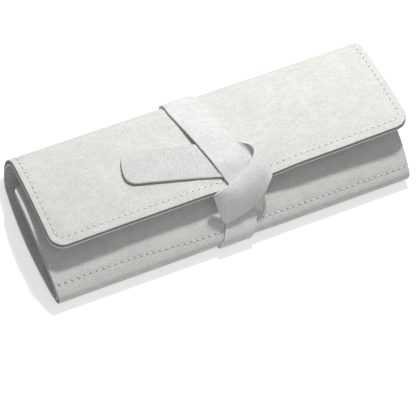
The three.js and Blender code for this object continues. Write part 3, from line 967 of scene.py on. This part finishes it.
def sew(name, point, path, bend):
    """Stitches along a seam, with a needle hole between each and the next, drawn as a dark bead of painted
    shade.
    """
    places, runs, normals = frame_along(point, even_path(path, STITCH_PITCH), -THREAD_SINK)
    middle = (places[1:] + places[:-1]) / 2
    size = (STITCH_LENGTH / 2, THREAD_RADIUS, THREAD_FLATNESS)
    stitches = beads(name + "_thread", middle, runs[:-1], normals[:-1], *size, thread)
    size = (HOLE_RADIUS * HOLE_STRETCH, HOLE_RADIUS, HOLE_FLATNESS)
    hole_shades = beads(name + "_hole_shades", places, runs, normals, *size, hole_shade)
    for piece in (stitches, hole_shades):
        bend(piece, 0)


def seam_corner(side_x, inward):
    """The flap seam's round corner, from one side of the flap to its front."""
    turn = np.linspace(0, math.pi / 2, SEAM_CORNER_POINTS)
    x = side_x + inward * FLAP_SEAM_CORNER * (1 - np.cos(turn))
    s = FLAP_SEAM - FLAP_SEAM_CORNER * (1 - np.sin(turn))
    return np.stack([x, s], -1)


def make_seams():
    """The flap's border, the line low on the front panel, and the stitches that lock its left end."""
    left, right = seam_corner(SEAM_LEFT, 1), seam_corner(SEAM_RIGHT, -1)
    left_start, right_start = (SEAM_LEFT, FLAP_SEAM_START), (SEAM_RIGHT, FLAP_SEAM_START)
    path = np.concatenate([[left_start], left, right[::-1], [right_start]])
    sew("flap_seam", wrap_point, path, bend_with_flap)
    along = np.linspace(BODY_LEFT + FRONT_SEAM_END, BODY_RIGHT - FRONT_SEAM_END, FRONT_SEAM_POINTS)
    sew("front_seam", front_point, np.stack([along, front_seam(along)], -1), bend_with_front)
    back = along[:1] + np.array([0, BACKSTITCH])
    path = np.stack([back, front_seam(back) - BACKSTITCH_DROP], -1)
    sew("front_backstitch", front_point, path, bend_with_front)


# Inside: slip pockets, zip pocket and ring cushion
POCKET_PLY = 1.2
POCKET_SIDE = 5
PLY_GAP = 0.3
FRONT_POCKET_MARGIN = 6
FLAP_POCKET_MARGIN = 1
FLAP_POCKET_DEPTH = 5.5
PLY_BEVEL = 0.12
PLY_SWELL = 0.12
SWELL_LENGTH = 19
METAL_BEVEL = 0.22


def ply_on(name, point, x_range, s_range, depth, thickness, outward):
    """A lining ply that lies on the inside of the sheet."""
    flat = flat_grid(spaced(*x_range, PLY_COLUMN), spaced(*s_range, PLY_STEP))
    face = point(flat[..., 0], flat[..., 1], depth)
    return slab(name, face, flat, thickness, (lining_suede, lining_edge_painted_light), outward)


def make_slip_pockets():
    """A pocket behind the front panel and one under the flap, with margins as angles on the arcs."""
    depth = stack + PLY_GAP
    sides = (BODY_LEFT + POCKET_SIDE, BODY_RIGHT - POCKET_SIDE)
    margin = FRONT_RADIUS * math.radians(FRONT_POCKET_MARGIN)
    reach = (S_NOSE + margin, S_TIP - margin)
    pocket = ply_on("front_slip_pocket", front_point, sides, reach, depth, POCKET_PLY, -1)
    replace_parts(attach(pocket, "front_panel"), "front_pocket")
    end = S_EDGE - FLAP_RADIUS * math.radians(FLAP_POCKET_MARGIN)
    reach = (end - FLAP_RADIUS * math.radians(FLAP_POCKET_DEPTH), end)
    pocket = ply_on("flap_slip_pocket", wrap_point, sides, reach, depth, POCKET_PLY, 1)
    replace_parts(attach(pocket, "flap"), "flap_pocket")


def flat_ply(name, node, material):
    """A flat ply in the place of a node, with a slight swell."""
    low, high = node_box(node)
    flat = flat_grid(spaced(low[0], high[0], PLY_COLUMN), np.linspace(low[1], high[1], PLY_ROWS))
    x, y = flat[..., 0], flat[..., 1]
    swell = PLY_SWELL * np.sin(x / SWELL_LENGTH) * arch(y, low[1], high[1] - low[1])
    face = np.stack([x, y, high[2] + swell], -1)
    looks = (material, lining_edge_painted_light)
    ply = slab(name, face, flat, high[2] - low[2], looks, outward=-1, bevel=PLY_BEVEL)
    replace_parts(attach(ply, "base"), node)


COIL_PITCH = 1.3
COIL_WIRE = 0.3
COIL_STEPS = 12
COIL_SIDES = 6


def make_zip_coil():
    """The interlocked teeth: one fine helix along the zip."""
    low, high = node_box("zip_coil")
    centre = (low + high) / 2
    radius_y, radius_z = (high - low)[1:] / 2 - COIL_WIRE
    turns = int((high[0] - low[0] - 2 * COIL_WIRE) / COIL_PITCH)
    t = np.arange(turns * COIL_STEPS + 1) / COIL_STEPS * 2 * math.pi
    x = low[0] + COIL_WIRE + t / (2 * math.pi) * COIL_PITCH
    spoke = np.stack([0 * t, radius_y * np.cos(t), radius_z * np.sin(t)], -1)
    path = np.stack([x, 0 * t + centre[1], 0 * t + centre[2]], -1) + spoke
    out = unit(spoke)
    across = np.cross(unit(np.gradient(path, axis=0)), out)
    angle = np.linspace(0, 2 * math.pi, COIL_SIDES, endpoint=False)[:, None]
    circle = out[:, None] * np.cos(angle) + across[:, None] * np.sin(angle)
    vertices = (path[:, None] + COIL_WIRE * circle).reshape(-1, 3)
    faces = tube_quads(len(path), COIL_SIDES).tolist() + tube_caps(len(path), COIL_SIDES)
    coil = link("zip_coil_teeth", mesh_of("zip_coil_teeth", vertices, faces), coil_plastic)
    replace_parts(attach(coil, "base"), "zip_coil")


ROLL_END = 2.5
ROLL_END_RINGS = 7
ROLL_RINGS = 40
ROLL_SIDES = 28
ROLL_TIP = 0.4
ROLL_LUMPS = 0.012
LUMP_LENGTH = 6
ROLL_SEAM = 0.05
ROLL_SEAM_WIDTH = 0.16


def make_ring_roll(node):
    """A stuffed roll with gathered ends and a seam along its top."""
    low, high = node_box(node)
    centre = (low + high) / 2
    half, radius = (high - low)[0] / 2, (high - low)[2] / 2
    turn = np.linspace(-math.pi / 2, 0, ROLL_END_RINGS, endpoint=False)
    end = np.sin(turn) * ROLL_END - half + ROLL_END
    middle = np.linspace(-half + ROLL_END, half - ROLL_END, ROLL_RINGS)
    x = np.concatenate([end, middle, -end[::-1]])
    r = np.concatenate([np.cos(turn), np.ones(ROLL_RINGS), np.cos(turn)[::-1]]) * radius
    r = np.maximum(r, ROLL_TIP) * (1 - ROLL_LUMPS * (1 + np.sin(x / LUMP_LENGTH)))
    angle = np.linspace(0, 2 * math.pi, ROLL_SIDES, endpoint=False)
    seam = 1 - ROLL_SEAM * np.exp(-(((angle - math.pi / 2) / ROLL_SEAM_WIDTH) ** 2))
    y = centre[1] + np.outer(r, np.cos(angle) * seam)
    z = centre[2] + np.outer(r, np.sin(angle) * seam)
    along = (centre[0] + x)[:, None]
    vertices = np.stack(np.broadcast_arrays(along, y, z), -1).reshape(-1, 3)
    uv = np.stack(np.broadcast_arrays(along, (angle * radius)[None, :]), -1).reshape(-1, 2)
    quads = tube_quads(len(x), ROLL_SIDES)[:, [0, 3, 2, 1]]
    faces = quads.tolist() + tube_caps(len(x), ROLL_SIDES)
    name = node + "_stuffed"
    roll = link(name, mesh_of(name, vertices, faces, uv), outer_suede)
    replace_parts(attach(roll, "base"), node)


def make_metal(node):
    """A zip part in plated metal, with its edges softened."""
    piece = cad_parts[node]
    piece.data.materials.clear()
    piece.data.materials.append(nickel)
    bevel = piece.modifiers.new("soft_edges", "BEVEL")
    bevel.width = METAL_BEVEL * MM
    bevel.segments = 3


def make_inside():
    """All that the closed bag hides."""
    make_slip_pockets()
    for node in ("pocket_front_panel", "pocket_back_panel", "ring_pad"):
        flat_ply(node + "_ply", node, lining_suede)
    for node in ("zip_tape_front", "zip_tape_back"):
        flat_ply(node + "_cloth", node, zip_cloth)
    make_zip_coil()
    for number in (1, 2, 3):
        make_ring_roll(f"ring_roll_{number}")
    for node in ("zip_slider", "zip_pull", "zip_stop_left", "zip_stop_right"):
        make_metal(node)


# Camera, from the photograph's fitted view
CAMERA_AZIMUTH = -40.1
CAMERA_ELEVATION = 65.3
CAMERA_ROLL = 18.0
CAMERA_DISTANCE = 1376
CAMERA_AIM = (-12.7, -23.5, 12)
CAMERA_LENS = 195.6
CAMERA_SENSOR = 36
CAMERA_CLIP = 20


def make_camera():
    """The camera at its distance from the aim, turned about its own line of sight."""
    azimuth, elevation = math.radians(CAMERA_AZIMUTH), math.radians(CAMERA_ELEVATION)
    roll = math.radians(CAMERA_ROLL)
    right = Vector((math.cos(azimuth), math.sin(azimuth), 0))
    back = Vector((math.sin(azimuth), -math.cos(azimuth), 0)) * math.cos(elevation)
    back.z = math.sin(elevation)
    up = back.cross(right)
    turned_right = right * math.cos(roll) + up * math.sin(roll)
    turned_up = up * math.cos(roll) - right * math.sin(roll)
    camera = bpy.data.cameras.new("camera")
    camera.lens = CAMERA_LENS
    camera.sensor_width = CAMERA_SENSOR
    camera.clip_end = CAMERA_CLIP
    holder = bpy.data.objects.new("camera", camera)
    place = (Vector(CAMERA_AIM) + back * CAMERA_DISTANCE) * MM
    turn = Matrix((turned_right, turned_up, back)).transposed().to_4x4()
    holder.matrix_world = Matrix.Translation(place) @ turn
    bpy.context.scene.collection.objects.link(holder)
    bpy.context.scene.camera = holder


# Light and floor, with distances and sizes in metres and power in watts
KEY_DIRECTION = (0.25, 0.39, 0.9)
RIM_DIRECTION = (0.15, 0.87, 0.46)
FILL_DIRECTION = (-0.25, -0.95, 0.12)
LAMP_COLOR = (1, 0.985, 0.96)
ROOM_COLOR = (0.965, 0.98, 1, 1)
CEILING = 0.44
WALL = 0.02
FLOOR_HALF = 4
FLOOR_TONE = 0.68
FLOOR_GLOW = 0.56
SWEEP_START = 0.2
SWEEP_END = 0.8


def soft_box(name, direction, distance, size, power):
    """A round soft lamp that faces the bag from a direction."""
    lamp = bpy.data.lights.new(name, "AREA")
    lamp.shape = "DISK"
    lamp.size = size
    lamp.energy = power
    lamp.color = LAMP_COLOR
    holder = bpy.data.objects.new(name, lamp)
    holder.location = Vector(direction).normalized() * distance
    holder.rotation_euler = Vector(direction).to_track_quat("Z", "Y").to_euler()
    bpy.context.scene.collection.objects.link(holder)


def seen_directly(tree):
    """1 for what the camera sees straight, in a mirror or through glass, and 0 for light on the object."""
    path = tree.nodes.new("ShaderNodeLightPath")
    kinds = ("Camera", "Glossy", "Transmission")
    return blended(tree, [(path.outputs[f"Is {kind} Ray"], 1) for kind in kinds])


def make_room():
    """A pale room that is brighter overhead than at its walls, and white where it is seen directly."""
    world = bpy.data.worlds.new("studio")
    world.use_nodes = True
    tree = world.node_tree
    height = axis_of(tree, coordinates(tree, "Generated"), "Z")
    glow = map_range(tree, height, target=(WALL, CEILING))
    strength = combined(tree, "MAXIMUM", glow, seen_directly(tree))
    background = tree.nodes["Background"]
    background.inputs["Color"].default_value = ROOM_COLOR
    tree.links.new(strength, background.inputs["Strength"])
    bpy.context.scene.world = world


def make_light():
    """A key lamp above and behind the bag and low ones at its back and front, in a pale room."""
    make_room()
    soft_box("key", KEY_DIRECTION, distance=0.75, size=0.07, power=4.4)
    soft_box("rim", RIM_DIRECTION, distance=0.5, size=0.3, power=0.35)
    soft_box("fill", FILL_DIRECTION, distance=0.6, size=0.25, power=0.72)


def make_floor():
    """A pale floor that is seen as a white sweep: it keeps the bag's shadow and whitens farther off."""
    mesh = bpy.data.meshes.new("floor")
    corners = ((-1, -1), (1, -1), (1, 1), (-1, 1))
    mesh.from_pydata([(x * FLOOR_HALF, y * FLOOR_HALF, 0) for x, y in corners], [], [(0, 1, 2, 3)])
    material, shader = principled("pale_floor", roughness=0.9)
    shader.inputs["Base Color"].default_value = (FLOOR_TONE, FLOOR_TONE, FLOOR_TONE, 1)
    shader.inputs["Emission Color"].default_value = (1, 1, 1, 1)
    tree = material.node_tree
    distance = tree.nodes.new("ShaderNodeVectorMath")
    distance.operation = "LENGTH"
    tree.links.new(coordinates(tree), distance.inputs[0])
    sweep = (SWEEP_START, SWEEP_END)
    glow = map_range(tree, distance.outputs["Value"], source=sweep, target=(FLOOR_GLOW, 1))
    strength = combined(tree, "MULTIPLY", glow, seen_directly(tree))
    tree.links.new(strength, shader.inputs["Emission Strength"])
    link("floor", mesh, material)


make_wrap()
make_front()
make_strap_wrap()
make_strap_front()
make_strap_hitch()
make_strap_drop()
make_seams()
make_inside()
make_camera()
make_light()
make_floor()
bpy.context.scene.view_settings.view_transform = "Standard"
